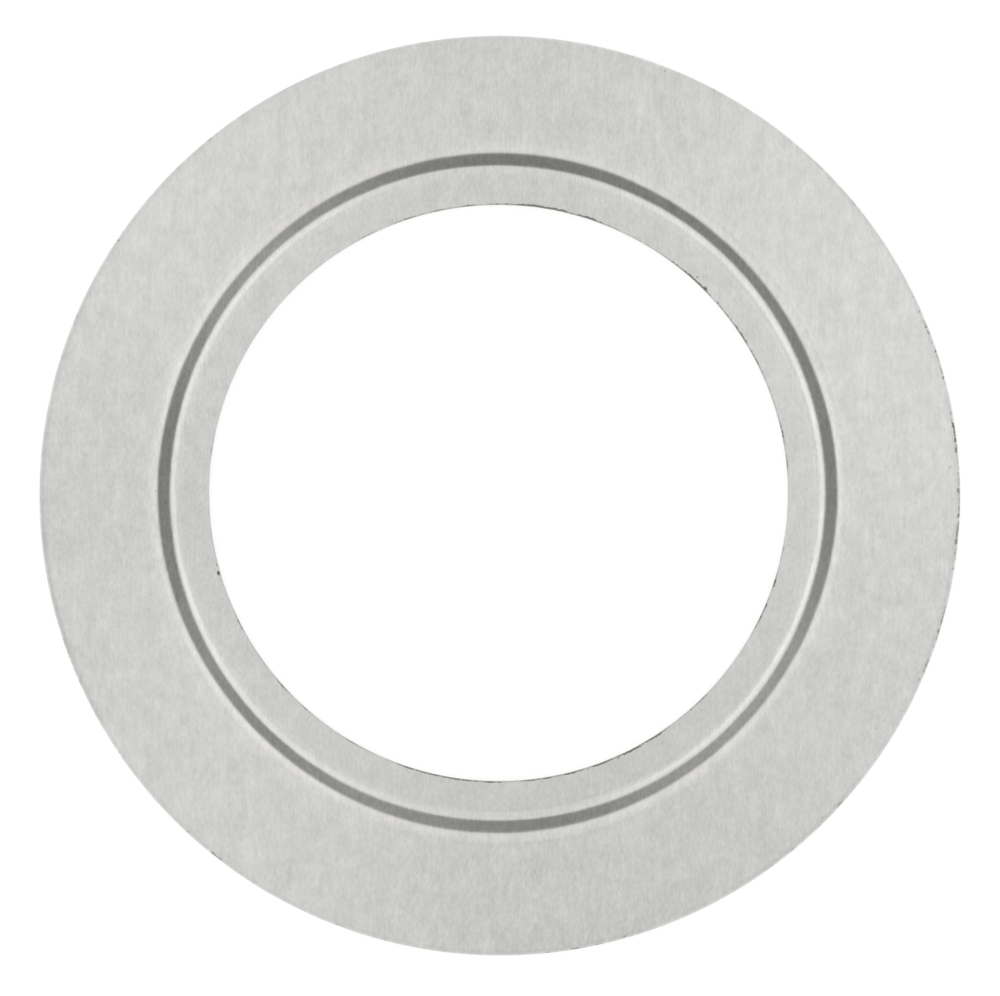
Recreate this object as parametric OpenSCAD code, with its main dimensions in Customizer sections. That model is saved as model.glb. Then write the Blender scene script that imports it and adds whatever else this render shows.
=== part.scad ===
// Round EGR valve gasket: one ring of sheet steel with a half bead.
//
// The ring lies flat, as it does on a bench. Its wide outer flange rests on z = 0.
// Inside the flange the sheet steps up over a sloping flank to a narrow land round
// the bore, which carries the exhaust gas. Clamped between two flanges the step is
// pressed flatter, and its spring force makes the seal.
//
// The section of the sheet is drawn once, as flats and true arcs, and turned about
// the bore's axis. Both skins run parallel everywhere, one sheet thickness apart.

/* [Ring] */
// Outside diameter of the ring
outer_d = 70; // [60:0.5:90]
// Diameter of the bore, at its smooth band
bore_d = 43.8; // [36:0.1:52]
// Thickness of the sheet
sheet_t = 0.4; // [0.25:0.05:0.8]

/* [Half bead] */
// Width of the level land, from the bore to the start of the shoulder's bend
land_w = 2.12; // [0.8:0.02:5]
// Height of the land above the flange, before clamping
bead_h = 0.6; // [0.4:0.05:1.2]
// Slope of the flank, from the level
flank_angle = 20.4; // [12:0.2:24]
// Radius of the bend at the edge of the land, on its convex upper side
shoulder_r = 3; // [1.2:0.1:4]
// Radius of the bend at the edge of the flange, on its concave upper side
foot_r = 3.4; // [1:0.1:5]

/* [Cut edges] */
// Width of the rounded lip that the die draws over a cut edge
lip_w = 0.2; // [0.15:0.01:0.3]
// Depth of that lip
lip_h = 0.02; // [0.01:0.005:0.05]
// Height of the smooth band next to the lip
smooth_h = 0.12; // [0.05:0.01:0.15]
// Slant of the torn band that makes up the rest of the edge
torn_angle = 5; // [2:1:15]

/* [Hidden] */
$fn = 180;

outer_r = outer_d / 2;
bore_r = bore_d / 2;

// The two bends take up a part of the step's height, and the straight flank that
// touches both of them makes up the rest
bends_h = (shoulder_r + foot_r) * (1 - cos(flank_angle));
flank_l = (bead_h - bends_h) / sin(flank_angle);
assert(flank_l > 0, "The bends are too large for the height of the bead");

// Width of the whole step, and the radius at which it starts. The bead keeps its
// distance from the bore, and the flange takes what is left up to the rim.
shoulder_w = shoulder_r * sin(flank_angle);
foot_w = foot_r * sin(flank_angle);
bead_w = shoulder_w + flank_l * cos(flank_angle) + foot_w;
bead_start = bore_r + land_w;

// Level runs of sheet, without the lips at its two edges
land_l = land_w - lip_w;
flange_l = outer_r - lip_w - bead_start - bead_w;
assert(flange_l > 0, "The bead reaches past the rim");

// The lip is the end of a larger arc, which leaves the flat without a corner
lip_r = (pow(lip_w, 2) + pow(lip_h, 2)) / (2 * lip_h);
torn_h = sheet_t - lip_h - smooth_h;
torn_w = torn_h * tan(torn_angle);

// One bend of the sheet: a slice of a ring about the origin, from the upright line
// clockwise to the same line turned by the slope of the flank
module bend(inner_r) {
    intersection() {
        difference() {
            circle(inner_r + sheet_t);
            circle(inner_r);
        }
        square(2 * foot_r + 2 * shoulder_r);
        rotate(-flank_angle)
            translate([-2 * foot_r - 2 * shoulder_r, 0])
                square(2 * foot_r + 2 * shoulder_r);
    }
}

// A straight run of sheet, from the origin to the right and upwards
module run(length) {
    square([length, sheet_t]);
}

// A cut edge as a punch and die leave it: rounded lip, smooth band and torn band,
// downwards. The origin is the point on the lip's side where the flat ends.
module cut_edge() {
    intersection() {
        translate([0, -lip_r])
            circle(lip_r);
        translate([0, -lip_h - smooth_h])
            square([lip_w, lip_h + smooth_h]);
    }
    translate([0, -lip_h - smooth_h])
        polygon([[0, 0], [0, -torn_h], [lip_w - torn_w, -torn_h], [lip_w, 0]]);
}

// Flange, drawn from the centre of the foot's bend. The blank was pushed up through
// its die, so the lip of the rim is on top.
module flange_section() {
    translate([0, -foot_r - sheet_t])
        run(flange_l);
    translate([flange_l, -foot_r])
        cut_edge();
}

// Land, drawn from the centre of the shoulder's bend. The punch for the bore came
// from below, so the lip of the bore is on the underside.
module land_section() {
    translate([-land_l, shoulder_r - sheet_t]) {
        run(land_l);
        rotate(180)
            cut_edge();
    }
}

// Whole section of the sheet, inwards from the flange: foot, flank, shoulder, land.
// Each piece starts in the frame where the one before it ends. The origin is under
// the start of the step, level with the flange's underside.
module sheet_section() {
    translate([bead_w, sheet_t + foot_r]) {
        flange_section();
        rotate(180)
            bend(foot_r);
        rotate(-flank_angle) {
            translate([-flank_l, -foot_r - sheet_t])
                run(flank_l);
            translate([-flank_l, -foot_r - shoulder_r])
                rotate(flank_angle) {
                    bend(shoulder_r - sheet_t);
                    land_section();
                }
        }
    }
}

// The gasket, blanked, pierced and beaded from one piece of sheet
module gasket_ring() {
    color([0.81, 0.81, 0.80])
        rotate_extrude()
            translate([bead_start, 0])
                sheet_section();
}

gasket_ring();
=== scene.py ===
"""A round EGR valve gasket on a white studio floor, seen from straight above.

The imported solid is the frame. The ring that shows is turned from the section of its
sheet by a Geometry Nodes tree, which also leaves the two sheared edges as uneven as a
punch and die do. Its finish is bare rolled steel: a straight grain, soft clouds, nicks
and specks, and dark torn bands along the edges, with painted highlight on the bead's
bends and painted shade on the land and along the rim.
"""

import logging
import math
from collections.abc import Sequence
from dataclasses import dataclass, field
from enum import Enum

import bpy
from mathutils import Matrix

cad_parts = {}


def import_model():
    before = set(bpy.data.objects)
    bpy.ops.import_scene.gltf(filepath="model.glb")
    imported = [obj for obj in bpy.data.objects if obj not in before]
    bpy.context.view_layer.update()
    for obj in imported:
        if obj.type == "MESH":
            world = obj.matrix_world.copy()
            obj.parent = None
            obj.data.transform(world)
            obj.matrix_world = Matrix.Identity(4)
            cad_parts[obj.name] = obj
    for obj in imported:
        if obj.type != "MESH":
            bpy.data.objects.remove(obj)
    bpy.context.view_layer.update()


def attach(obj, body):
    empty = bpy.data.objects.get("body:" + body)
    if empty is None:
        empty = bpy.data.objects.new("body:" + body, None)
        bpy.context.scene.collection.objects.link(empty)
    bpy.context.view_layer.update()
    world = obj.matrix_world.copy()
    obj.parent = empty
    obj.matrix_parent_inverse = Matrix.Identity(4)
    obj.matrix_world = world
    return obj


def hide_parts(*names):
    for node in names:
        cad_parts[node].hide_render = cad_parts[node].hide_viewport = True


LOG = logging.getLogger("gasket")
MM = 0.001
FULL_TURN = 360.0
WHITE = (1.0, 1.0, 1.0, 1.0)

Socket = bpy.types.NodeSocket
Feed = Socket | float | int | bool | str | Sequence[float]
Colour = tuple[float, float, float, float]
Stops = tuple[tuple[float, float], ...]


@dataclass(frozen=True)
class Noise:
    """A random pattern: frequency per millimetre, octaves, strength of the finer ones."""

    scale: float
    detail: float
    rough: float


@dataclass(frozen=True)
class Ramp:
    """A smooth step: the range in which it rises, and its value before and after."""

    low: float
    high: float
    to_low: Feed = 0.0
    to_high: Feed = 1.0


class Graph:
    """Adds nodes to one tree and joins them."""

    def __init__(self, tree: bpy.types.NodeTree) -> None:
        """Starts from an empty tree.

        Args:
            tree: The shader or geometry tree to fill.
        """
        self.tree = tree
        tree.nodes.clear()

    def feed(self, socket: Socket, value: Feed) -> None:
        """Links a socket to an input, or writes a plain value into it.

        Args:
            socket: The input to set.
            value: An output socket, or a value of the input's kind.
        """
        if isinstance(value, Socket):
            self.tree.links.new(value, socket)
        else:
            socket.default_value = value

    def add(
        self, kind: str, feeds: dict[str | int, Feed] | None = None, **settings: object
    ) -> bpy.types.Node:
        """Adds one node.

        Args:
            kind: The node's type name.
            feeds: What goes into its inputs, by name or place.
            settings: The node's own settings.

        Returns:
            The new node.
        """
        node = self.tree.nodes.new(kind)
        for name, value in settings.items():
            setattr(node, name, value)
        for key, value in (feeds or {}).items():
            self.feed(node.inputs[key], value)
        return node

    def math(self, operation: str, *values: Feed, clamp: bool = False) -> Socket:
        """Adds a Math node.

        Args:
            operation: Its operation, such as MULTIPLY.
            values: Its operands, in order.
            clamp: Whether the result is held between 0 and 1.

        Returns:
            The node's value.
        """
        node = self.add("ShaderNodeMath", dict(enumerate(values)), operation=operation, use_clamp=clamp)
        return node.outputs[0]

    def vector(self, operation: str, *values: Feed) -> Socket:
        """Adds a Vector Math node.

        Args:
            operation: Its operation, such as SUBTRACT.
            values: Its operands, in order.

        Returns:
            The node's vector, or its value for LENGTH, DISTANCE and DOT_PRODUCT.
        """
        node = self.add("ShaderNodeVectorMath", dict(enumerate(values)), operation=operation)
        scalar = operation in ("LENGTH", "DISTANCE", "DOT_PRODUCT")
        return node.outputs["Value" if scalar else "Vector"]

    def blend(self, low: Feed, high: Feed, amount: Feed) -> Socket:
        """Mixes two colours.

        Args:
            low: The colour at amount 0.
            high: The colour at amount 1.
            amount: The share of the second colour.

        Returns:
            The mixed colour.
        """
        node = self.add("ShaderNodeMix", {0: amount, 6: low, 7: high}, data_type="RGBA")
        return node.outputs[2]

    def between(self, low: Feed, high: Feed, amount: Feed) -> Socket:
        """Mixes two values, by an amount from 0 to 1."""
        return self.add("ShaderNodeMix", {0: amount, 2: low, 3: high}, data_type="FLOAT").outputs[0]

    def ramp(self, value: Feed, step: Ramp) -> Socket:
        """Maps a range smoothly onto another and holds it at both ends.

        Args:
            value: What is mapped.
            step: The two ranges.

        Returns:
            The mapped value.
        """
        feeds = {
            "Value": value, "From Min": step.low, "From Max": step.high,
            "To Min": step.to_low, "To Max": step.to_high,
        }
        node = self.add("ShaderNodeMapRange", feeds, interpolation_type="SMOOTHSTEP")
        return node.outputs["Result"]

    def scaled(self, vector: Feed, factor: Feed) -> Socket:
        """Scales a vector.

        Args:
            vector: The vector.
            factor: What it is multiplied by.

        Returns:
            The scaled vector.
        """
        node = self.add("ShaderNodeVectorMath", {0: vector, "Scale": factor}, operation="SCALE")
        return node.outputs["Vector"]

    def curve(self, turn: Feed, stops: Stops) -> Socket:
        """Reads a value off a closed line of stops round the ring.

        Args:
            turn: The azimuth as a share of a full turn.
            stops: Azimuths in degrees, from 0 to 360, and the value at each.

        Returns:
            The value, straight between the stops.
        """
        node = self.add("ShaderNodeFloatCurve", {"Value": turn})
        points = node.mapping.curves[0].points
        points[0].location = (0.0, stops[0][1])
        points[-1].location = (1.0, stops[-1][1])
        for azimuth, value in stops[1:-1]:
            points.new(azimuth / FULL_TURN, value)
        for point in points:
            point.handle_type = "VECTOR"
        node.mapping.update()
        return node.outputs[0]

    def noise(self, place: Feed, pattern: Noise) -> Socket:
        """Adds a Noise Texture.

        Args:
            place: The coordinates that it reads.
            pattern: Its settings.

        Returns:
            The noise's value, around one half.
        """
        feeds = {
            "Vector": place, "Scale": pattern.scale, "Detail": pattern.detail, "Roughness": pattern.rough,
        }
        node = self.add("ShaderNodeTexNoise", feeds, noise_dimensions="3D", normalize=True)
        return node.outputs[0]

    def wobble(self, place: Feed, pattern: Noise) -> Socket:
        """Adds a Noise Texture whose value lies around zero."""
        return self.math("SUBTRACT", self.noise(place, pattern), 0.5)

    def xyz(self, *parts: Feed) -> Socket:
        """Joins up to three values into a vector, with zero for those left out."""
        return self.add("ShaderNodeCombineXYZ", dict(enumerate(parts))).outputs[0]

    def layer(self, name: str) -> Socket:
        """Reads one of the mesh's attributes in a shader tree."""
        return self.add("ShaderNodeAttribute", attribute_name=name).outputs["Fac"]

    def declare(self, inputs: dict[str, str], output: str, kind: str) -> bpy.types.NodeOutputs:
        """Declares a group's named sockets.

        Args:
            inputs: The kind of each input by its name.
            output: The output's name.
            kind: The output's kind.

        Returns:
            The inputs, as the tree's nodes read them.
        """
        for name, input_kind in inputs.items():
            self.tree.interface.new_socket(name, in_out="INPUT", socket_type=f"NodeSocket{input_kind}")
        self.tree.interface.new_socket(output, in_out="OUTPUT", socket_type=f"NodeSocket{kind}")
        return self.add("NodeGroupInput").outputs


class Edge(Enum):
    """The two sheared edges of the ring."""

    RIM = "rim"
    BORE = "bore"


@dataclass(frozen=True)
class EdgeWear:
    """How strong an edge's dark line is by azimuth in degrees, and what breaks it up."""

    edge: Edge
    noise: Noise
    gaps: Ramp
    line: Stops


@dataclass(frozen=True)
class SectionPoint:
    """One corner of the sheet's section, in millimetres, and how the dressing treats it."""

    x: float
    z: float
    follow: float = 1.0
    pierced: float = 0.0
    blanked: float = 0.0
    tear: float = 0.0
    torn: float = 0.0
    rim: float = 0.0
    # Share of the shoulder's rubbed polish and painted highlight at this corner.
    rub_highlight: float = 0.0


SECTION_WEIGHTS = ("follow", "pierced", "blanked", "tear", "torn", "rim", "rub_highlight")


@dataclass(frozen=True)
class RingSizes:
    """Sizes of the ring in millimetres and degrees, as the solid has them."""

    outer_r: float = 35.0
    bore_r: float = 21.9
    sheet_t: float = 0.4
    land_w: float = 2.12
    bead_h: float = 0.6
    flank: float = 20.4
    shoulder_r: float = 3.0
    foot_r: float = 3.4
    lip_w: float = 0.2
    lip_h: float = 0.02
    smooth_h: float = 0.12
    torn: float = 5.0

    @property
    def flank_l(self) -> float:
        """Length of the straight flank between the two bends."""
        rise = (self.shoulder_r + self.foot_r) * (1.0 - math.cos(math.radians(self.flank)))
        return (self.bead_h - rise) / math.sin(math.radians(self.flank))

    @property
    def shoulder_x(self) -> float:
        """Radius at which the level land ends."""
        return self.bore_r + self.land_w

    @property
    def foot_x(self) -> float:
        """Radius at which the level flange begins.

        Returns:
            The radius in millimetres.
        """
        slope = math.radians(self.flank)
        bends = (self.shoulder_r + self.foot_r) * math.sin(slope)
        return self.shoulder_x + bends + self.flank_l * math.cos(slope)

    @property
    def land_top(self) -> float:
        """Height of the land's upper side."""
        return self.bead_h + self.sheet_t

    @property
    def torn_w(self) -> float:
        """Width that the torn band's slant takes up."""
        return (self.sheet_t - self.lip_h - self.smooth_h) * math.tan(math.radians(self.torn))

    @property
    def lip_r(self) -> float:
        """Radius of the arc that ends in the lip."""
        return (self.lip_w**2 + self.lip_h**2) / (2.0 * self.lip_h)


def arc(
    centre: tuple[float, float], radius: float, start: float, end: float, steps: int
) -> list[tuple[float, float]]:
    """Walks along an arc.

    Args:
        centre: The arc's centre.
        radius: Its radius.
        start: The angle at which it starts, in degrees.
        end: The angle at which it ends.
        steps: The number of straight steps.

    Returns:
        The points, both ends included.
    """
    angles = (math.radians(start + (end - start) * i / steps) for i in range(steps + 1))
    return [(centre[0] + radius * math.cos(a), centre[1] + radius * math.sin(a)) for a in angles]


@dataclass
class SheetSection:
    """The closed section of the sheet, in the plane of the radius."""

    sizes: RingSizes = field(default_factory=RingSizes)
    bend_steps: int = 8
    under_steps: int = 4
    lip_steps: int = 3
    guard: float = 0.06
    tear_reach: float = 0.3
    blank_reach: float = 1.0
    # Per step of the shoulder bend: partly steel burnished by the die, partly painted highlight where the
    # bend mirrors the bright panel.
    rubbed_and_highlit: tuple[float, ...] = (0.0, 0.0, 0.0, 0.2, 0.9, 0.72, 0.3, 0.7, 0.3)
    chipped: float = 0.6
    torn_margin: float = 0.032
    line_reach: tuple[float, float] = (2.45, 2.55)

    def points(self) -> list[SectionPoint]:
        """Gives the section's corners, outwards on top and back underneath."""
        return self.upper_side() + self.rim_edge() + self.under_side() + self.bore_edge()

    def follow(self, x: float) -> float:
        """Gives the share of the punch's offset at a radius: all up to the foot, none at the rim."""
        lip_x = self.sizes.outer_r - self.sizes.lip_w
        return min(1.0, max(0.0, (lip_x - x) / (lip_x - self.sizes.foot_x)))

    def upper_side(self) -> list[SectionPoint]:
        """Gives the land, the step and the flange as seen from above.

        Returns:
            The corners, outwards.
        """
        s = self.sizes
        corner = s.bore_r + s.torn_w
        shoulder = (s.shoulder_x, s.land_top - s.shoulder_r)
        foot = (s.foot_x, s.sheet_t + s.foot_r)
        line_x = corner + self.torn_margin
        side = [
            SectionPoint(corner, s.land_top, follow=0.0, pierced=1.0, tear=self.chipped, torn=1.0),
            SectionPoint(line_x, s.land_top, follow=0.0, pierced=1.0, tear=self.line_reach[0], torn=1.0),
            SectionPoint(
                corner + 1.4 * self.torn_margin, s.land_top, follow=0.0, pierced=1.0, tear=self.line_reach[1]
            ),
            SectionPoint(corner + self.tear_reach, s.land_top, follow=0.2, pierced=0.8),
            SectionPoint(s.shoulder_x - self.guard, s.land_top),
        ]
        shoulder_bend = arc(shoulder, s.shoulder_r, 90.0, 90.0 - s.flank, self.bend_steps)
        side += [SectionPoint(x, z, rub_highlight=b) for (x, z), b in zip(shoulder_bend, self.rubbed_and_highlit)]
        side += [SectionPoint(x, z) for x, z in arc(foot, s.foot_r, 270.0 - s.flank, 270.0, self.bend_steps)]
        lip_x = s.outer_r - s.lip_w
        flange = ((s.foot_x + self.guard, 0.0), (lip_x - self.blank_reach, 0.0), (lip_x - self.guard, 1.0))
        for x, blanked in flange:
            side.append(SectionPoint(x, s.sheet_t, follow=self.follow(x), blanked=blanked))
        return side

    def rim_edge(self) -> list[SectionPoint]:
        """Gives the outer cut edge: lip, smooth band, torn band.

        Returns:
            The corners, downwards.
        """
        s = self.sizes
        centre = (s.outer_r - s.lip_w, s.sheet_t - s.lip_r)
        fall = math.degrees(math.asin(s.lip_w / s.lip_r))
        lip = arc(centre, s.lip_r, 90.0, 90.0 - fall, self.lip_steps)
        edge = []
        for i, (x, z) in enumerate(lip):
            share = i / self.lip_steps
            edge.append(SectionPoint(x, z, follow=0.0, blanked=1.0, rim=share))
        low = s.sheet_t - s.lip_h - s.smooth_h
        edge.append(SectionPoint(s.outer_r, low, follow=0.0, blanked=1.0, rim=0.4, torn=0.5))
        edge.append(SectionPoint(s.outer_r - s.torn_w, 0.0, follow=0.0, blanked=1.0, torn=1.0))
        return edge

    def under_side(self) -> list[SectionPoint]:
        """Gives the underside.

        Returns:
            The corners, from the rim inwards.
        """
        s = self.sizes
        rim_x = s.outer_r - s.torn_w - self.guard
        foot = (s.foot_x, s.sheet_t + s.foot_r)
        shoulder = (s.shoulder_x, s.land_top - s.shoulder_r)
        bends = arc(foot, s.foot_r + s.sheet_t, 270.0, 270.0 - s.flank, self.under_steps)
        bends += arc(shoulder, s.shoulder_r - s.sheet_t, 90.0 - s.flank, 90.0, self.under_steps)
        side = [SectionPoint(rim_x, 0.0, follow=self.follow(rim_x), blanked=1.0)]
        side.append(SectionPoint(s.foot_x + self.guard, 0.0))
        side += [SectionPoint(x, z) for x, z in bends]
        side.append(SectionPoint(s.shoulder_x - self.guard, s.bead_h))
        return side

    def bore_edge(self) -> list[SectionPoint]:
        """Gives the bore's cut edge: lip, smooth band, torn band.

        Returns:
            The corners, upwards.
        """
        s = self.sizes
        centre = (s.bore_r + s.lip_w, s.bead_h + s.lip_r)
        fall = math.degrees(math.asin(s.lip_w / s.lip_r))
        lip = arc(centre, s.lip_r, 270.0, 270.0 - fall, self.lip_steps)
        edge = []
        for i, (x, z) in enumerate(lip):
            edge.append(SectionPoint(x, z, follow=0.0, pierced=1.0, tear=self.chipped * i / self.lip_steps))
        low = s.bead_h + s.lip_h + s.smooth_h
        edge.append(SectionPoint(s.bore_r, low, follow=0.0, pierced=1.0, tear=self.chipped, torn=0.8))
        mid = (s.bore_r + s.torn_w * 0.4, low + (s.land_top - low) * 0.4)
        edge.append(SectionPoint(*mid, follow=0.0, pierced=1.0, tear=self.chipped, torn=1.0))
        return edge


@dataclass
class DressedRing:
    """The ring as it shows: the section turned about the axis, with uneven cut edges.

    A cut edge's shape is how far it lies outside a true circle: everywhere, and as the
    cosine and the sine of twice the azimuth. Tables round the ring hold azimuths in
    degrees and the value at each.
    """

    section: SheetSection = field(default_factory=SheetSection)
    steps_around: int = 1960
    bead_offset: tuple[float, float] = (-0.172, 0.2)
    bore_offset: tuple[float, float] = (-0.1, 0.2)
    bore_shape: tuple[float, float, float] = (0.007, 0.052, -0.004)
    rim_shape: tuple[float, float, float] = (-0.0246, 0.0246, -0.023)
    tear_width: float = 0.05
    dent_depth: float = 0.04
    burr_noise: Noise = Noise(2.4, 1.0, 0.5)
    burr_fine: float = 0.01
    burr_least: float = -0.006
    shade_gain: float = 1.2
    shade_base: float = 0.02
    shade_most: float = 0.81
    rub_highlight_gain: float = 1.2
    rub_highlight_base: float = -0.2
    merge_gap: float = 0.0001
    sharp_bend: float = 35.0
    seed: int = 7
    edge_wear: tuple[EdgeWear, ...] = (
        EdgeWear(Edge.BORE, Noise(2.3, 2.0, 0.6), Ramp(0.36, 0.64, 0.68, 1.3), (
            (0, .08), (3.5, .03), (6, .6), (9, .1), (12, .75), (15, .18), (24, .3), (27, .64), (30, .24),
            (33, .7), (36, .48), (43, .28), (46, .95), (49, .7), (51, .5), (54, .38), (57, .22),
            (64, .22), (69, .44), (71.5, 1), (72.5, 1), (75, .36), (77.5, 1), (84, 1), (86, .62),
            (90, .46), (93, .2), (96, .56), (99, .22), (102, .44), (105, .18), (108, .52), (111, .2),
            (114, .1), (117, .4), (120, .06), (170, .04), (171, 1), (172, .03), (194.5, .15), (197, .02),
            (205, .26), (207, .56), (210, .05), (215, .3), (218, .05), (222, .56), (225, .1), (228, .42),
            (231, .05), (237, .12), (240, .45), (246, .03), (252, .55), (258, .46), (261, .72),
            (264, .52), (270, .6), (273, .2), (276, .5), (280, .56), (282.5, .26), (285, .95), (288, .26),
            (291, .95), (294.5, .34), (296, 1), (298, 1), (300, .3), (303, 1), (306.5, .14), (315, .44),
            (318, .05), (330, .12), (337, .7), (338.5, .15), (340.5, .12), (341.5, .5), (346, .05),
            (348, .38), (351, .05), (360, .1),
        )),
        EdgeWear(Edge.RIM, Noise(3.0, 1.0, 0.5), Ramp(0.45, 0.65), (
            (0, .6), (4, .4), (8, .6), (12, .1), (15, .4), (22, .6), (25, .15), (37, .03), (42, .2),
            (48, .2), (51, 0), (64, 0), (67, .2), (77, .05), (127, .05), (130, .2), (195, .2), (199, .4),
            (210, .05), (229, .05), (232, .35), (235, .05), (262, .05), (280, .35), (286, .25),
            (290, .03), (303, 0), (306, .2), (317, .3), (321, .1), (334, .05), (338, .5), (343, .6),
            (347, .2), (357, .65), (360, .6),
        )),
    )
    # How much lighter the shoulder bend is round the ring: partly burnish, partly painted highlight that
    # follows the light. Low values dim it.
    rub_highlight_round: Stops = (
        (0, .46), (30, .95), (45, .65), (60, .53), (75, .18), (90, 0), (105, .04), (120, .5), (135, .7),
        (150, .34), (165, .24), (195, .73), (210, .49), (225, .14), (240, .31), (270, .03), (285, .02),
        (300, .63), (315, .66), (330, .93), (345, .81), (360, .46),
    )
    # Painted shade: how dark the soft band along the lip is round the ring. It stands in for the lip's darker
    # reflection and is no mark on the steel.
    rim_shade: Stops = (
        (0, .07), (56, .015), (112, .01), (180, .11), (186, .16), (204, .15), (210, .06), (262, .04),
        (268, .075), (286, .07), (290, .01), (301, .01), (304, .1), (319, .11), (323, .01), (333, .01),
        (338, .09), (352, .1), (360, .07),
    )

    def section_mesh(self) -> bpy.types.Object:
        """Makes the section as a chain of points with its weights.

        Returns:
            The object that the tree is put on.
        """
        points = self.section.points()
        mesh = bpy.data.meshes.new("sheet_section")
        mesh.from_pydata([(p.x * MM, 0.0, p.z * MM) for p in points], [], [])
        for name in SECTION_WEIGHTS:
            layer = mesh.attributes.new(name, "FLOAT", "POINT")
            layer.data.foreach_set("value", [getattr(p, name) for p in points])
        ring = bpy.data.objects.new("dressed_ring", mesh)
        bpy.context.scene.collection.objects.link(ring)
        return ring

    def tree(self) -> bpy.types.GeometryNodeTree:
        """Builds the tree that turns the section and wears its edges.

        Returns:
            The tree, with named inputs for its sizes.
        """
        tree = bpy.data.node_groups.new("Turned Sheet", "GeometryNodeTree")
        g = Graph(tree)
        given = g.declare({
            "Section": "Geometry", "Steps Around": "Int", "Bead Offset": "Vector", "Bore Offset": "Vector",
            "Bore Shape": "Vector", "Tear Width": "Float", "Rim Shape": "Vector", "Dent Depth": "Float",
            "Seed": "Float", "Steel": "Material",
        }, "Ring", "Geometry")

        # A grid with a row of the section's corners for each step round the ring. The
        # first corner comes again at each row's end, and small shares guard the rounding.
        section = {"Geometry": given["Section"]}
        count = g.add("GeometryNodeAttributeDomainSize", section).outputs["Point Count"]
        along = g.math("ADD", count, 1.0)
        around = g.math("ADD", given["Steps Around"], 1.0)
        sheet = g.add("GeometryNodeMeshGrid", {"Vertices X": around, "Vertices Y": along}).outputs["Mesh"]
        index = g.add("GeometryNodeInputIndex").outputs[0]
        step = g.math("FLOOR", g.math("DIVIDE", g.math("ADD", index, 0.5), along))
        corner = g.math("SUBTRACT", index, g.math("MULTIPLY", step, along))
        corner = g.math("FLOOR", g.math("MODULO", g.math("ADD", corner, 0.25), count))
        share = g.math("DIVIDE", step, given["Steps Around"])
        turn = g.math("MULTIPLY", share, 2.0 * math.pi)

        def sampled(kind: str, value: Feed) -> Socket:
            """Reads a value of the section at the grid's corner."""
            feeds = {**section, "Value": value, "Index": corner}
            return g.add("GeometryNodeSampleIndex", feeds, data_type=kind, domain="POINT").outputs[0]

        def weight(name: str) -> Socket:
            """Reads one of the section's weights at the grid's corner."""
            layer = g.add("GeometryNodeInputNamedAttribute", {"Name": name}, data_type="FLOAT").outputs[0]
            return sampled("FLOAT", layer)

        position = g.add("GeometryNodeInputPosition").outputs[0]
        place = g.add("ShaderNodeSeparateXYZ", {0: sampled("FLOAT_VECTOR", position)})
        out = g.xyz(g.math("COSINE", turn), g.math("SINE", turn))
        on_edge = g.scaled(out, self.section.sizes.outer_r)
        seeded = g.vector("ADD", on_edge, g.xyz(0.0, 0.0, given["Seed"]))

        # Wear of both edges
        lines = {wear.edge: g.curve(share, wear.line) for wear in self.edge_wear}
        broken = {
            wear.edge: g.math("MULTIPLY", lines[wear.edge], g.ramp(g.noise(seeded, wear.noise), wear.gaps))
            for wear in self.edge_wear
        }
        line = broken[Edge.BORE]
        fine = g.math("MULTIPLY", g.wobble(seeded, self.burr_noise), self.burr_fine * MM)
        burr = g.math("MULTIPLY_ADD", line, given["Tear Width"], fine)
        burr = g.math("MAXIMUM", burr, self.burr_least * MM)
        dent = g.math("MULTIPLY", g.math("MULTIPLY", weight("rim"), broken[Edge.RIM]), given["Dent Depth"])

        # Each point's place
        twice = g.math("MULTIPLY", turn, 2.0)
        waves = g.xyz(1.0, g.math("COSINE", twice), g.math("SINE", twice))
        radius = g.math("MULTIPLY_ADD", weight("tear"), burr, place.outputs[0])
        for name, shape in (("pierced", "Bore Shape"), ("blanked", "Rim Shape")):
            outside = g.vector("DOT_PRODUCT", given[shape], waves)
            radius = g.math("MULTIPLY_ADD", weight(name), outside, radius)
        ring_place = g.scaled(out, g.math("SUBTRACT", radius, dent))
        for name, offset in (("follow", "Bead Offset"), ("pierced", "Bore Offset")):
            ring_place = g.vector("ADD", ring_place, g.scaled(given[offset], weight(name)))
        height = g.math("SUBTRACT", place.outputs[2], dent)
        ring_place = g.vector("ADD", ring_place, g.xyz(0.0, 0.0, height))

        # Layers that the finish reads
        shade = g.math("MULTIPLY_ADD", line, self.shade_gain, self.shade_base)
        shade = g.math("MAXIMUM", g.math("MINIMUM", shade, self.shade_most), weight("rim"), clamp=True)
        # Partly burnish, partly painted highlight on the shoulder bend
        rub_highlight = g.curve(share, self.rub_highlight_round)
        rub_highlight = g.math("MULTIPLY_ADD", rub_highlight, self.rub_highlight_gain, self.rub_highlight_base)
        layers = {
            "torn": g.math("MULTIPLY", weight("torn"), shade),
            "lip": weight("rim"),
            "soiled": lines[Edge.RIM],
            # Painted shade along the rim, by azimuth
            "painted_rim_shade": g.curve(share, self.rim_shade),
            # Partly burnish, partly painted highlight
            "rubbed_and_highlit": g.math("MULTIPLY", weight("rub_highlight"), rub_highlight),
        }

        def then(kind: str, feeds: dict[str | int, Feed], **settings: object) -> Socket:
            """Passes the ring through one more node."""
            return g.add(kind, {"Geometry": ring, **feeds}, **settings).outputs[0]

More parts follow.
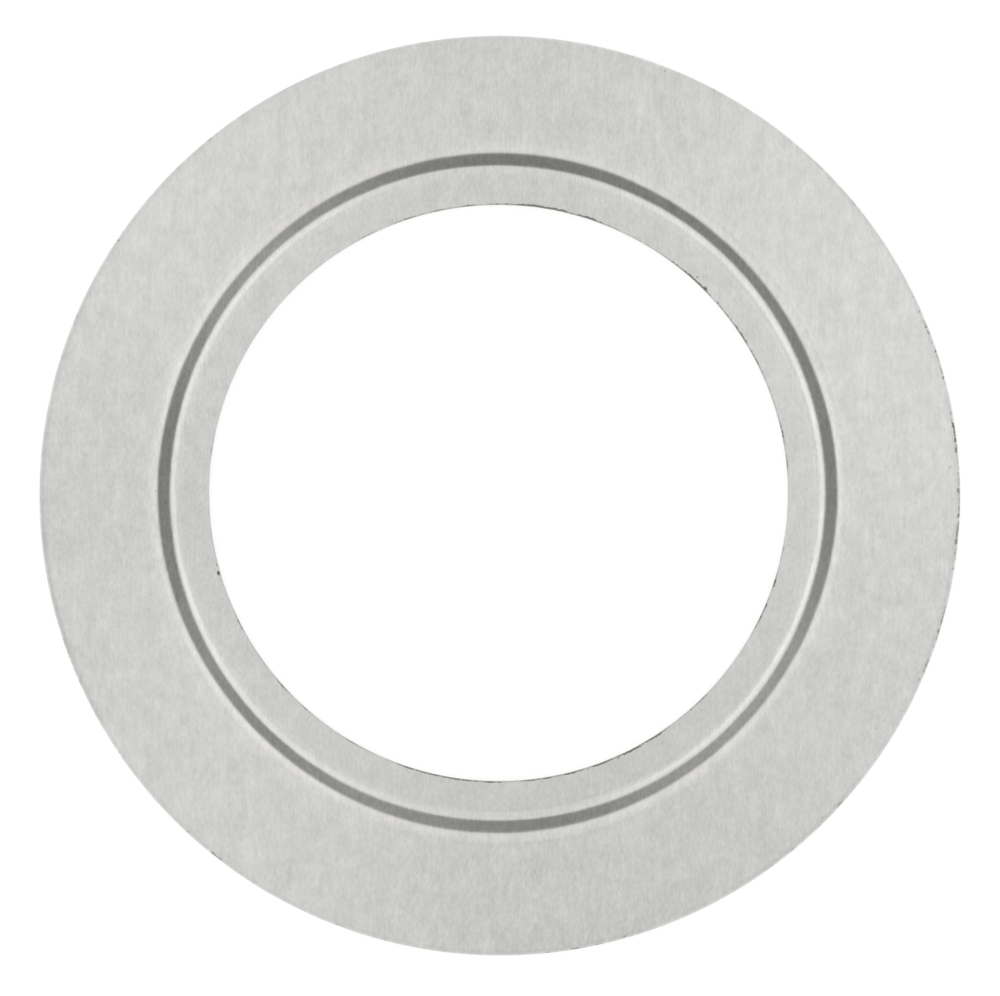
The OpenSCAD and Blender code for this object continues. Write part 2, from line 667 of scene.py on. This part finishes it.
        ring = sheet
        for name, value in layers.items():
            feeds = {"Name": name, "Value": value}
            ring = then("GeometryNodeStoreNamedAttribute", feeds, data_type="FLOAT", domain="POINT")
        ring = then("GeometryNodeSetPosition", {"Position": ring_place})
        ring = then("GeometryNodeMergeByDistance", {"Distance": self.merge_gap * MM})
        ring = then("GeometryNodeSetShadeSmooth", {})
        bend = g.add("GeometryNodeInputMeshEdgeAngle").outputs[0]
        feeds = {0: bend, 1: math.radians(self.sharp_bend)}
        sharp = g.add("FunctionNodeCompare", feeds, data_type="FLOAT", operation="GREATER_THAN").outputs[0]
        feeds = {"Name": "sharp_edge", "Value": sharp}
        ring = then("GeometryNodeStoreNamedAttribute", feeds, data_type="BOOLEAN", domain="EDGE")
        ring = then("GeometryNodeRealizeInstances", {})
        ring = then("GeometryNodeSetMaterial", {"Material": given["Steel"]})
        g.add("NodeGroupOutput", {0: ring})
        return tree

    def build(self, steel: bpy.types.Material) -> bpy.types.Object:
        """Makes the ring as a plain mesh.

        Args:
            steel: Its finish.

        Returns:
            The finished piece.
        """
        ring = self.section_mesh()
        tree = self.tree()
        modifier = ring.modifiers.new("turned_sheet", "NODES")
        modifier.node_group = tree
        sizes = {
            "Bead Offset": (*self.bead_offset, 0.0), "Bore Offset": (*self.bore_offset, 0.0),
            "Bore Shape": self.bore_shape, "Rim Shape": self.rim_shape,
        }
        values = {name: [size * MM for size in row] for name, row in sizes.items()}
        values |= {
            "Steps Around": self.steps_around, "Tear Width": self.tear_width * MM,
            "Dent Depth": self.dent_depth * MM, "Seed": float(self.seed), "Steel": steel,
        }
        for item in tree.interface.items_tree:
            if item.in_out == "INPUT" and item.name in values:
                modifier[item.identifier] = values[item.name]
        bpy.context.view_layer.update()
        graph = bpy.context.evaluated_depsgraph_get()
        evaluated = ring.evaluated_get(graph)
        mesh = bpy.data.meshes.new_from_object(evaluated, preserve_all_data_layers=True, depsgraph=graph)
        ring.modifiers.clear()
        ring.data = mesh
        mesh.name = "dressed_ring"
        return ring


@dataclass(frozen=True)
class Spot:
    """A dark nick or speck on the upper side: its azimuth in degrees, the rest in millimetres.

    Its stretch is how many times longer it is round the ring than it is wide.
    """

    azimuth: float
    radius: float
    size: float
    depth: float = 1.0
    stretch: float = 1.0

    def axes(self) -> tuple[tuple[float, float, float], tuple[float, float, float]]:
        """Gives the rows that turn a place (x, y, 1) into the spot's own round measure.

        Returns:
            The row along the rim and the row across it.
        """
        turn = math.radians(self.azimuth)
        length = self.size * self.stretch
        along = (-math.sin(turn) / length, math.cos(turn) / length, 0.0)
        across = (math.cos(turn) / self.size, math.sin(turn) / self.size, -self.radius / self.size)
        return along, across


@dataclass(frozen=True)
class Streaks:
    """One size of rolling grain: width and length in millimetres, and its part in the tone."""

    width: float
    length: float
    strength: float


@dataclass(frozen=True)
class RolledSteel:
    """Bare rolled sheet: satin, with a straight grain along Y. Ramps are over radii or shares."""

    colour: Colour = (0.622, 0.622, 0.6095, 1.0)
    cool: Colour = (0.988, 1.003, 0.998, 1.0)
    warm: Colour = (1.001, 0.999, 1.0, 1.0)
    torn_colour: Colour = (0.14, 0.128, 0.113, 1.0)
    roughness: float = 0.15
    grain_roughness: float = 0.06
    torn_roughness: float = 0.35
    wave_height: float = 20.0
    bump_depth: float = 0.0006
    fine_grain: Streaks = Streaks(0.18, 0.42, 0.25)
    grain: tuple[Streaks, ...] = (
        Streaks(0.5, 1.2, 0.12), Streaks(0.24, 2.6, 0.1), Streaks(1.1, 2.4, 0.1),
    )
    cloud: float = 0.18
    # How much lighter the shoulder bend is: partly burnish, partly painted highlight.
    rub_highlight: float = 0.28
    grain_noise: Noise = Noise(1.0, 1.0, 0.5)
    cloud_noise: Noise = Noise(0.7, 3.0, 0.6)
    tint_noise: Noise = Noise(0.2, 2.0, 0.5)
    edge_noise: Noise = Noise(4.0, 2.0, 0.5)
    soil_noise: Noise = Noise(2.2, 3.0, 0.6)
    spot_noise: Noise = Noise(6.0, 2.0, 0.5)
    wave_noise: Noise = Noise(0.45, 1.0, 0.5)
    tint_patches: Ramp = Ramp(0.5, 0.66)
    # Painted shade: the land a shade darker, standing in for the darker middle of the overhead reflection.
    painted_land_shade: Ramp = Ramp(23.4, 26.8, 0.975, 1.0)
    # Painted highlight: the flange just past the foot bend is lighter, so that the bend's highlight fades
    # slowly.
    painted_foot_highlight: tuple[Ramp, Ramp] = (Ramp(26.2, 26.9), Ramp(26.9, 27.7, 0.02, 0.0))
    # Where the painted shade along the rim lies: rising inside the lip, fading at its very edge.
    painted_rim_reach: tuple[Ramp, Ramp] = (Ramp(34.48, 34.8), Ramp(34.83, 34.97, 1.0, 0.2))
    soil_gain: float = 0.15
    soil_gaps: Ramp = Ramp(0.55, 0.67)
    soil_depth: Ramp = Ramp(0.15, 1.0, 0.0, 0.95)
    soil_lip: Ramp = Ramp(0.7, 1.0, 1.0, 0.4)
    lip_start: Ramp = Ramp(0.0, 0.15)
    lip_reach: Ramp = Ramp(0.2, 0.5)
    ragged: float = 1.2
    spot_edge: tuple[float, float] = (0.3, 0.75)
    spot_unevenness: float = 1.8
    spots: tuple[Spot, ...] = (
        Spot(195.48, 22.14, 0.19, 1, 1.7), Spot(193.67, 22.1, 0.1, 0.6, 1.6),
        Spot(196.72, 22.1, 0.1, 0.35), Spot(45.29, 22.15, 0.22, 1, 1.4), Spot(47.85, 22.34, 0.12, 0.6),
        Spot(47.14, 22.67, 0.09, 0.3), Spot(46.84, 22.07, 0.1, 0.6, 1.4),
        Spot(342.64, 21.89, 0.12, 0.9, 2.6), Spot(341.76, 21.89, 0.1, 0.85, 2.6),
        Spot(340.89, 21.87, 0.08, 0.5, 1.5), Spot(174.39, 25.25, 0.14, 0.75),
        Spot(175.12, 25.15, 0.12, 0.7), Spot(175.85, 25.15, 0.14, 0.8), Spot(179.26, 26.17, 0.1, 0.4),
        Spot(41.44, 22.07, 0.12, 0.7, 1.3), Spot(37.29, 22.04, 0.1, 0.6, 2),
        Spot(35.7, 22.09, 0.12, 0.8, 1.5), Spot(34.58, 22, 0.09, 0.6), Spot(33.53, 22.04, 0.12, 0.8, 1.3),
        Spot(32.06, 22.07, 0.1, 0.7, 2), Spot(29.8, 22.05, 0.09, 0.6, 1.6),
        Spot(294.5, 21.87, 0.12, 0.7, 1.6), Spot(299.4, 21.81, 0.1, 0.7, 3),
        Spot(287.9, 21.81, 0.09, 0.6, 2), Spot(329.7, 33.86, 0.1, 0.3), Spot(328.27, 33.66, 0.11, 0.35),
        Spot(312.91, 25.2, 0.12, 0.5), Spot(303.35, 25.28, 0.12, 0.4), Spot(317.11, 24.98, 0.12, 0.4),
        Spot(264.73, 25.06, 0.12, 0.4), Spot(31.75, 25.46, 0.11, 0.4), Spot(131.98, 25.49, 0.11, 0.4),
        Spot(228.44, 25.47, 0.11, 0.4), Spot(200.45, 22.41, 0.1, 0.25), Spot(350.4, 22.25, 0.11, 0.25),
        Spot(3.6, 34.27, 0.13, 0.3), Spot(236.69, 33.32, 0.1, 0.3), Spot(348.92, 32, 0.11, 0.3),
        Spot(6.81, 26.99, 0.1, 0.25), Spot(336.89, 34.47, 0.13, 0.3), Spot(294.9, 29.22, 0.1, 0.25),
        Spot(63.35, 30.66, 0.1, 0.25), Spot(8.41, 34.17, 0.09, 0.2), Spot(11.94, 34.48, 0.11, 0.25),
        Spot(197.2, 25, 0.11, 0.4), Spot(195.9, 27.59, 0.12, 0.25), Spot(343.54, 21.88, 0.06, 0.5, 7),
        Spot(0.6, 34.86, 0.15, 0.62, 3), Spot(1.6, 34.9, 0.08, 0.4, 9), Spot(2.7, 34.89, 0.12, 0.4, 1.8),
        Spot(5.7, 34.86, 0.15, 0.7, 3), Spot(4.5, 34.89, 0.08, 0.4, 7), Spot(7, 34.88, 0.16, 0.8, 2),
        Spot(8.2, 34.88, 0.13, 0.75, 9), Spot(8.8, 34.86, 0.16, 0.8, 2.4),
        Spot(10.4, 34.86, 0.13, 0.5, 1.5), Spot(9.6, 34.8, 0.1, 0.35, 2),
        Spot(14.9, 34.88, 0.14, 0.8, 1.8), Spot(15.7, 34.87, 0.11, 0.5, 4),
        Spot(18.3, 34.89, 0.14, 0.72, 1.6), Spot(17.4, 34.9, 0.07, 0.4, 6),
        Spot(20.9, 34.83, 0.12, 0.5, 2), Spot(21.6, 34.85, 0.15, 0.7, 1.6),
        Spot(22.1, 34.86, 0.08, 0.3, 4), Spot(22.5, 34.74, 0.12, 0.22, 2), Spot(23.7, 34.8, 0.16, 0.5),
        Spot(25.7, 34.85, 0.12, 0.28, 2), Spot(39.5, 34.9, 0.08, 0.3, 6), Spot(46, 34.9, 0.09, 0.3, 9),
        Spot(62.2, 34.87, 0.1, 0.3), Spot(68.75, 34.63, 0.14, 0.5), Spot(129.2, 34.9, 0.1, 0.28, 3.4),
        Spot(146.2, 34.88, 0.12, 0.48, 1.4), Spot(157, 34.9, 0.1, 0.3, 2),
        Spot(198.4, 34.9, 0.09, 0.2, 7), Spot(204, 34.9, 0.08, 0.18, 6), Spot(214, 34.87, 0.1, 0.3, 1.3),
        Spot(227.1, 34.86, 0.1, 0.35, 1.3), Spot(231.4, 34.86, 0.15, 0.74, 2),
        Spot(232.1, 34.86, 0.1, 0.45, 6), Spot(232.5, 34.84, 0.13, 0.68, 1.5),
        Spot(249.2, 34.84, 0.12, 0.32, 2.4), Spot(275.9, 34.91, 0.1, 0.48, 3.4),
        Spot(277.8, 34.83, 0.12, 0.35, 1.6), Spot(279.5, 34.9, 0.1, 0.55, 9),
        Spot(282.4, 34.9, 0.08, 0.4, 5), Spot(285.6, 34.84, 0.15, 0.5, 1.8),
        Spot(306, 34.9, 0.08, 0.35, 8), Spot(309.5, 34.9, 0.09, 0.35, 6), Spot(314.5, 34.9, 0.08, 0.3, 7),
        Spot(318, 34.87, 0.14, 0.5, 4), Spot(331.8, 34.73, 0.12, 0.3), Spot(336.4, 34.84, 0.12, 0.4, 2),
        Spot(338.2, 34.87, 0.11, 0.5, 7), Spot(338.9, 34.89, 0.11, 0.4, 2.4),
        Spot(342.2, 34.9, 0.08, 0.4, 9), Spot(342.9, 34.88, 0.14, 0.6, 1.8),
        Spot(344.9, 34.9, 0.1, 0.5, 15), Spot(345.8, 34.88, 0.1, 0.4, 1.8),
        Spot(350.8, 34.87, 0.13, 0.4, 1.2), Spot(352.7, 34.87, 0.12, 0.55, 1.6),
        Spot(354.4, 34.84, 0.2, 0.62, 2.6), Spot(355, 34.85, 0.14, 0.58, 9),
        Spot(355.8, 34.86, 0.13, 0.5, 2), Spot(357.6, 34.88, 0.14, 0.7, 2.6),
        Spot(358.8, 34.9, 0.08, 0.4, 8),
    )

    def grain_group(self) -> bpy.types.ShaderNodeTree:
        """Builds the rolling grain, which runs in streaks along Y.

        Returns:
            A group that gives the streaks' value.
        """
        tree = bpy.data.node_groups.new("Rolling Grain", "ShaderNodeTree")
        g = Graph(tree)
        given = g.declare({"Place": "Vector", "Across": "Float", "Along": "Float"}, "Streaks", "Float")
        axes = g.add("ShaderNodeSeparateXYZ", {0: given["Place"]}).outputs
        across = g.math("DIVIDE", axes[0], given["Across"])
        along = g.math("DIVIDE", axes[1], given["Along"])
        g.add("NodeGroupOutput", {0: g.noise(g.xyz(across, along, axes[2]), self.grain_noise)})
        return tree

    def spot_group(self) -> bpy.types.ShaderNodeTree:
        """Builds one uneven spot.

        Returns:
            A group that gives the spot's mask.
        """
        tree = bpy.data.node_groups.new("Uneven Spot", "ShaderNodeTree")
        g = Graph(tree)
        given = g.declare({
            "Place": "Vector", "Along": "Vector", "Across": "Vector", "Depth": "Float", "Unevenness": "Float",
        }, "Mask", "Float")
        along = g.vector("DOT_PRODUCT", given["Place"], given["Along"])
        across = g.vector("DOT_PRODUCT", given["Place"], given["Across"])
        gap = g.math("ADD", g.vector("LENGTH", g.xyz(along, across)), given["Unevenness"])
        g.add("NodeGroupOutput", {0: g.ramp(gap, Ramp(*self.spot_edge, given["Depth"], 0.0))})
        return tree

    def zoned(self, g: Graph, place: Socket, tone: Socket) -> Socket:
        """Adds what differs from bore to rim: a burnished shoulder with painted highlight, painted shade on
        the land, painted highlight past the foot, painted shade along the rim.

        Args:
            g: The material's tree.
            place: The place on the ring in millimetres.
            tone: How light the grain is.

        Returns:
            The tone with those zones.
        """
        radius = g.vector("LENGTH", g.vector("MULTIPLY", place, (1.0, 1.0, 0.0)))
        # Partly burnished steel, partly painted highlight: the shoulder bend is lighter where its highlight
        # falls.
        tone = g.math("MULTIPLY", tone, g.math("MULTIPLY_ADD", g.layer("rubbed_and_highlit"), self.rub_highlight, 1.0))
        # Painted shade: the land darker, standing in for the darker middle of the overhead reflection.
        tone = g.math("MULTIPLY", tone, g.ramp(radius, self.painted_land_shade))
        # Painted highlight just past the foot bend
        painted_foot_sheen = g.math("MULTIPLY", *(g.ramp(radius, side) for side in self.painted_foot_highlight))
        tone = g.math("MULTIPLY", tone, g.math("ADD", painted_foot_sheen, 1.0))
        # Painted shade: a soft darker band along the lip, standing in for its darker reflection.
        painted_rim_shade = g.layer("painted_rim_shade")
        for side in self.painted_rim_reach:
            painted_rim_shade = g.math("MULTIPLY", painted_rim_shade, g.ramp(radius, side))
        return g.math("MULTIPLY", tone, g.math("SUBTRACT", 1.0, painted_rim_shade))

    def dark_marks(self, g: Graph, place: Socket) -> Socket:
        """Builds the mask of the torn bands, the soiled lip, and the nicks and specks.

        Args:
            g: The material's tree.
            place: The place on the ring in millimetres.

        Returns:
            The mask, 1 where the steel is dark.
        """
        lip, soiled = g.layer("lip"), g.layer("soiled")
        soil = g.math("MULTIPLY_ADD", soiled, self.soil_gain, g.noise(place, self.soil_noise))
        soil = g.math("MULTIPLY", g.ramp(soil, self.soil_gaps), g.ramp(soiled, self.soil_depth))
        soil = g.math("MULTIPLY", soil, g.ramp(lip, self.soil_lip))
        reach = g.math("MULTIPLY_ADD", g.wobble(place, self.edge_noise), self.ragged, lip)
        reach = g.math("MULTIPLY", reach, g.ramp(lip, self.lip_start))
        dark = g.math("MAXIMUM", g.layer("torn"), g.math("MULTIPLY", soil, g.ramp(reach, self.lip_reach)))

        flat = g.vector("MULTIPLY_ADD", place, (1.0, 1.0, 0.0), (0.0, 0.0, 1.0))
        unevenness = g.math("MULTIPLY", g.wobble(place, self.spot_noise), self.spot_unevenness)
        spot_tree = self.spot_group()
        for spot in self.spots:
            along, across = spot.axes()
            feeds = {"Place": flat, "Along": along, "Across": across, "Depth": spot.depth}
            feeds["Unevenness"] = unevenness
            mask = g.add("ShaderNodeGroup", feeds, node_tree=spot_tree).outputs[0]
            dark = g.math("MAXIMUM", dark, mask)
        return dark

    def build(self) -> bpy.types.Material:
        """Makes the material.

        Returns:
            The steel's material.
        """
        material = bpy.data.materials.new("rolled_steel")
        material.use_nodes = True
        g = Graph(material.node_tree)
        place = g.scaled(g.add("ShaderNodeTexCoord").outputs["Object"], 1.0 / MM)
        grain_tree = self.grain_group()

        def placed(streaks: Streaks) -> Socket:
            """Places the grain group.

            Args:
                streaks: The streaks' size.

            Returns:
                Their value, around zero.
            """
            feeds = {"Place": place, "Across": streaks.width, "Along": streaks.length}
            node = g.add("ShaderNodeGroup", feeds, node_tree=grain_tree)
            return g.math("SUBTRACT", node.outputs[0], 0.5)

        fine = placed(self.fine_grain)
        tone = g.math("MULTIPLY_ADD", fine, self.fine_grain.strength, 1.0)
        for streaks in self.grain:
            tone = g.math("MULTIPLY_ADD", placed(streaks), streaks.strength, tone)
        tone = g.math("MULTIPLY_ADD", g.wobble(place, self.cloud_noise), self.cloud, tone)
        tone = self.zoned(g, place, tone)
        tint = g.blend(self.warm, self.cool, g.ramp(g.noise(place, self.tint_noise), self.tint_patches))
        colour = g.scaled(g.vector("MULTIPLY", self.colour[:3], tint), tone)
        dark = self.dark_marks(g, place)
        colour = g.blend(colour, self.torn_colour, dark)

        rough = g.math("MULTIPLY_ADD", fine, self.grain_roughness, self.roughness)
        rough = g.math("MULTIPLY_ADD", dark, self.torn_roughness, rough)
        height = g.math("MULTIPLY_ADD", g.wobble(place, self.wave_noise), self.wave_height, fine)
        feeds = {"Height": height, "Strength": 1.0, "Distance": self.bump_depth * MM}
        normal = g.add("ShaderNodeBump", feeds).outputs[0]
        feeds = {"Base Color": colour, "Metallic": 1.0, "Roughness": rough, "Normal": normal}
        shader = g.add("ShaderNodeBsdfPrincipled", feeds)
        g.add("ShaderNodeOutputMaterial", {"Surface": shader.outputs[0]})
        return material


@dataclass(frozen=True)
class WhiteStudio:
    """White floor, a round panel of light overhead, two brighter sides and darker walls.

    Ramps are over degrees off the vertical, tables hold azimuths in degrees and the
    value at each, and light levels are shares of white.
    """

    panel: float = 1.0
    panel_edge: float = 38.4
    panel_blur: float = 3.2
    panel_corner: float = 1.5
    panel_corners: float = 4.0
    middle_dip: Ramp = Ramp(3.0, 5.3, 0.05, 0.0)
    near_zone: tuple[Ramp, Ramp] = (Ramp(2.0, 7.0), Ramp(6.5, 14.0, 1.0, 0.0))
    side_rise: tuple[Ramp, Ramp] = (Ramp(13.0, 31.0, 0.0, 0.9), Ramp(3.0, 9.0, 0.0, 0.1))
    side_gain: float = 1.06
    side_warmth: float = 6.0
    warm_zone: Ramp = Ramp(42.0, 50.0, 1.0, 0.0)
    warm: Colour = (1.0, 0.979, 0.967, 1.0)
    wall_lift: float = -0.043
    cool_wall: Colour = (0.972, 1.0, 0.987, 1.0)
    warm_wall: Colour = (1.003, 1.0, 0.965, 1.0)
    horizon_rise: Ramp = Ramp(50.0, 63.0)
    horizon: float = 0.95
    floor_r: float = 1.6
    floor_steps: int = 96
    floor_drop: float = 0.02
    floor_colour: Colour = (0.5, 0.5, 0.5, 1.0)
    floor_lift: float = 0.668
    near: Stops = (
        (0, .56), (15, .7), (30, .66), (45, .65), (75, .41), (90, .35), (105, .49), (120, .57),
        (135, .62), (150, .62), (165, .44), (180, .39), (210, .54), (225, .55), (255, .43), (285, .24),
        (300, .38), (315, .45), (330, .5), (345, .47), (360, .56),
    )
    sides: Stops = (
        (0, .24), (15, .265), (30, .12), (45, .145), (60, .15), (75, .09), (105, .08), (135, .17),
        (150, .275), (165, .285), (180, .13), (195, .17), (210, .28), (225, .26), (255, .11), (270, .06),
        (285, .09), (300, .15), (315, .17), (330, .16), (345, .19), (360, .24),
    )
    walls: Stops = (
        (0, .33), (15, .35), (30, .32), (45, .31), (60, .305), (75, .325), (90, .31), (105, .355),
        (135, .48), (150, .45), (165, .335), (180, .325), (195, .345), (210, .43), (225, .37),
        (240, .435), (255, .46), (270, .385), (285, .395), (300, .475), (315, .49), (330, .49),
        (345, .385), (360, .33),
    )
    wall_cool: Stops = (
        (0, .2), (45, .5), (150, .2), (195, .5), (225, 1), (255, .8), (285, .6), (345, 0), (360, .2),
    )

    def world(self) -> bpy.types.World:
        """Builds the light from all round.

        Returns:
            The world, white to the camera.
        """
        world = bpy.data.worlds.new("white_studio")
        world.use_nodes = True
        g = Graph(world.node_tree)
        towards = g.add("ShaderNodeTexCoord").outputs["Generated"]
        axes = g.add("ShaderNodeSeparateXYZ", {0: towards}).outputs
        off = g.math("DEGREES", g.math("ARCCOSINE", axes[2]))
        azimuth = g.math("ARCTAN2", axes[1], axes[0])
        turn = g.math("FRACT", g.math("DIVIDE", azimuth, 2.0 * math.pi))

        # Walls, up to the bright horizon
        wall = g.math("ADD", g.curve(turn, self.walls), self.wall_lift)
        wall = g.between(wall, self.horizon, g.ramp(off, self.horizon_rise))
        wall_tint = g.blend(self.warm_wall, self.cool_wall, g.curve(turn, self.wall_cool))

        # Panel, with its brighter sides and its darker middle
        rise = g.math("ADD", *(g.ramp(off, step) for step in self.side_rise))
        gain = g.math("MULTIPLY", rise, g.curve(turn, self.sides))
        near = g.math("SUBTRACT", g.curve(turn, self.near), 0.5)
        for step in self.near_zone:
            near = g.math("MULTIPLY", near, g.ramp(off, step))
        level = g.math("ADD", g.math("MULTIPLY_ADD", gain, self.side_gain, self.panel), near)
        level = g.math("SUBTRACT", level, g.ramp(off, self.middle_dip))
        warmth = g.math("MULTIPLY", gain, self.side_warmth, clamp=True)
        tint = g.blend(WHITE, self.warm, g.math("MULTIPLY", warmth, g.ramp(off, self.warm_zone)))

        # The panel's edge, a circle with four blunt corners
        corner = g.math("COSINE", g.math("MULTIPLY", azimuth, self.panel_corners))
        corner = g.math("ADD", off, g.math("MULTIPLY", corner, self.panel_corner))
        shut = g.ramp(g.math("SUBTRACT", corner, self.panel_edge), Ramp(-self.panel_blur, self.panel_blur))
        lit = g.scaled(g.blend(tint, wall_tint, shut), g.between(level, wall, shut))

        path = g.add("ShaderNodeLightPath").outputs
        colour = g.blend(lit, WHITE, path["Is Camera Ray"])
        shader = g.add("ShaderNodeBackground", {"Color": colour, "Strength": 1.0})
        g.add("ShaderNodeOutputWorld", {"Surface": shader.outputs[0]})
        world.cycles.sampling_method = "NONE"
        bpy.context.scene.world = world
        return world

    def floor(self) -> bpy.types.Object:
        """Builds the floor that the ring lies on.

        Returns:
            The floor, a little under the ring.
        """
        mesh = bpy.data.meshes.new("studio_floor")
        count = self.floor_steps
        turns = (2.0 * math.pi * i / count for i in range(count))
        rim = [(self.floor_r * math.cos(t), self.floor_r * math.sin(t), -self.floor_drop * MM) for t in turns]
        mesh.from_pydata(rim, [], [tuple(range(count))])
        material = bpy.data.materials.new("studio_white")
        material.use_nodes = True
        g = Graph(material.node_tree)
        path = g.add("ShaderNodeLightPath").outputs
        seen = g.math("MAXIMUM", path["Is Camera Ray"], path["Is Glossy Ray"])
        seen = g.math("MAXIMUM", seen, path["Is Transmission Ray"])
        feeds = {
            "Base Color": self.floor_colour, "Roughness": 0.9, "Specular IOR Level": 0.0,
            "Emission Color": WHITE, "Emission Strength": g.math("MULTIPLY", seen, self.floor_lift),
        }
        shader = g.add("ShaderNodeBsdfPrincipled", feeds)
        g.add("ShaderNodeOutputMaterial", {"Surface": shader.outputs[0]})
        mesh.materials.append(material)
        floor = bpy.data.objects.new("studio_floor", mesh)
        bpy.context.scene.collection.objects.link(floor)
        return floor


@dataclass(frozen=True)
class OverheadCamera:
    """A camera straight above the ring, framed as the photograph is."""

    lens: float = 150.0
    sensor: float = 36.0
    frame_w: float = 1000.0
    frame_h: float = 996.0
    rim_px: float = 460.38
    centre_px: tuple[float, float] = (499.36, 495.15)

    def build(self, rim_r: float, rim_z: float) -> bpy.types.Object:
        """Places the camera so that the rim has its size and place in the frame.

        Args:
            rim_r: The rim's radius in millimetres.
            rim_z: The height of its widest place.

        Returns:
            The camera.
        """
        pixel = rim_r / self.rim_px
        height = self.frame_w * pixel * self.lens / self.sensor + rim_z
        right = ((self.frame_w - 1.0) / 2.0 - self.centre_px[0]) * pixel
        up = (self.centre_px[1] - (self.frame_h - 1.0) / 2.0) * pixel
        data = bpy.data.cameras.new("overhead_camera")
        data.lens = self.lens
        data.sensor_width = self.sensor
        data.sensor_fit = "HORIZONTAL"
        data.clip_start = 0.01
        data.clip_end = 20.0
        camera = bpy.data.objects.new("overhead_camera", data)
        camera.location = (right * MM, up * MM, height * MM)
        bpy.context.scene.collection.objects.link(camera)
        bpy.context.scene.camera = camera
        return camera


def main() -> None:
    """Loads the frame, builds the ring and the studio, and notes the sizes."""
    logging.basicConfig(level=logging.INFO, format="%(name)s: %(message)s")
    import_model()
    scene = bpy.context.scene
    scene.view_settings.view_transform = "Standard"

    sizes = RingSizes()
    dressing = DressedRing(SheetSection(sizes))
    ring = dressing.build(RolledSteel().build())
    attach(ring, "root")
    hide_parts("gasket_ring")
    LOG.info("%s: %d faces", ring.name, len(ring.data.polygons))

    studio = WhiteStudio()
    studio.world()
    LOG.info("%s: radius %.1f m", studio.floor().name, studio.floor_r)
    camera = OverheadCamera().build(sizes.outer_r, sizes.sheet_t - sizes.lip_h)
    LOG.info("%s: %.3f m up", camera.name, camera.location.z)


if __name__ == "__main__":
    main()
